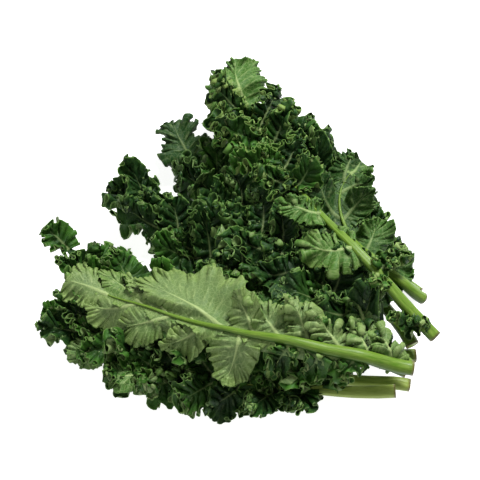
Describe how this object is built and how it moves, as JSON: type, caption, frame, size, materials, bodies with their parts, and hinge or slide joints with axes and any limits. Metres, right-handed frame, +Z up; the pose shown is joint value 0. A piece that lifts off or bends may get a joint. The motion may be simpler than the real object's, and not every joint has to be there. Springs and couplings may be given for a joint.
{
  "type": "bunch of curly kale",
  "caption": "Loose bunch of curly kale lying on its side: frilled leaf blades on tapering stalks that fan out from their cut ends, the front one showing its pale underside.",
  "frame": {"origin": "middle of the bounding box's base, at the level of the surface that the bunch lies on", "axes": "+Z up; +X towards the stalks' cut ends, along the bunch's longer side; +Y away from the front leaf, towards the tip of the top leaf"},
  "size_m": [0.3496, 0.3434, 0.1075],
  "materials": {
    "leaf_face": "dark green, waxy, matt to satin",
    "leaf_underside": "pale grey-green, matt, with paler raised veins",
    "stalk": "yellow-green, smooth, satin, fibrous at the cut"
  },
  "bodies": {
    "root": {"back_right_stalk": "stalk", "back_right_blade": "leaf_face", "upper_left_stalk": "stalk", "upper_left_blade": "leaf_face", "mid_left_stalk": "stalk", "mid_left_blade": "leaf_face", "lower_left_stalk": "stalk", "lower_left_blade": "leaf_face", "bottom_stalk": "stalk", "bottom_blade": "leaf_face", "left_tip_stalk": "stalk", "left_tip_blade": "leaf_face", "upper_middle_stalk": "stalk", "upper_middle_blade": "leaf_face", "right_stalk": "stalk", "right_blade": "leaf_underside", "centre_stalk": "stalk", "centre_blade": "leaf_face", "top_stalk": "stalk", "top_blade": "leaf_face", "front_stalk": "stalk", "front_blade": "leaf_underside"}
  },
  "joints": []
}
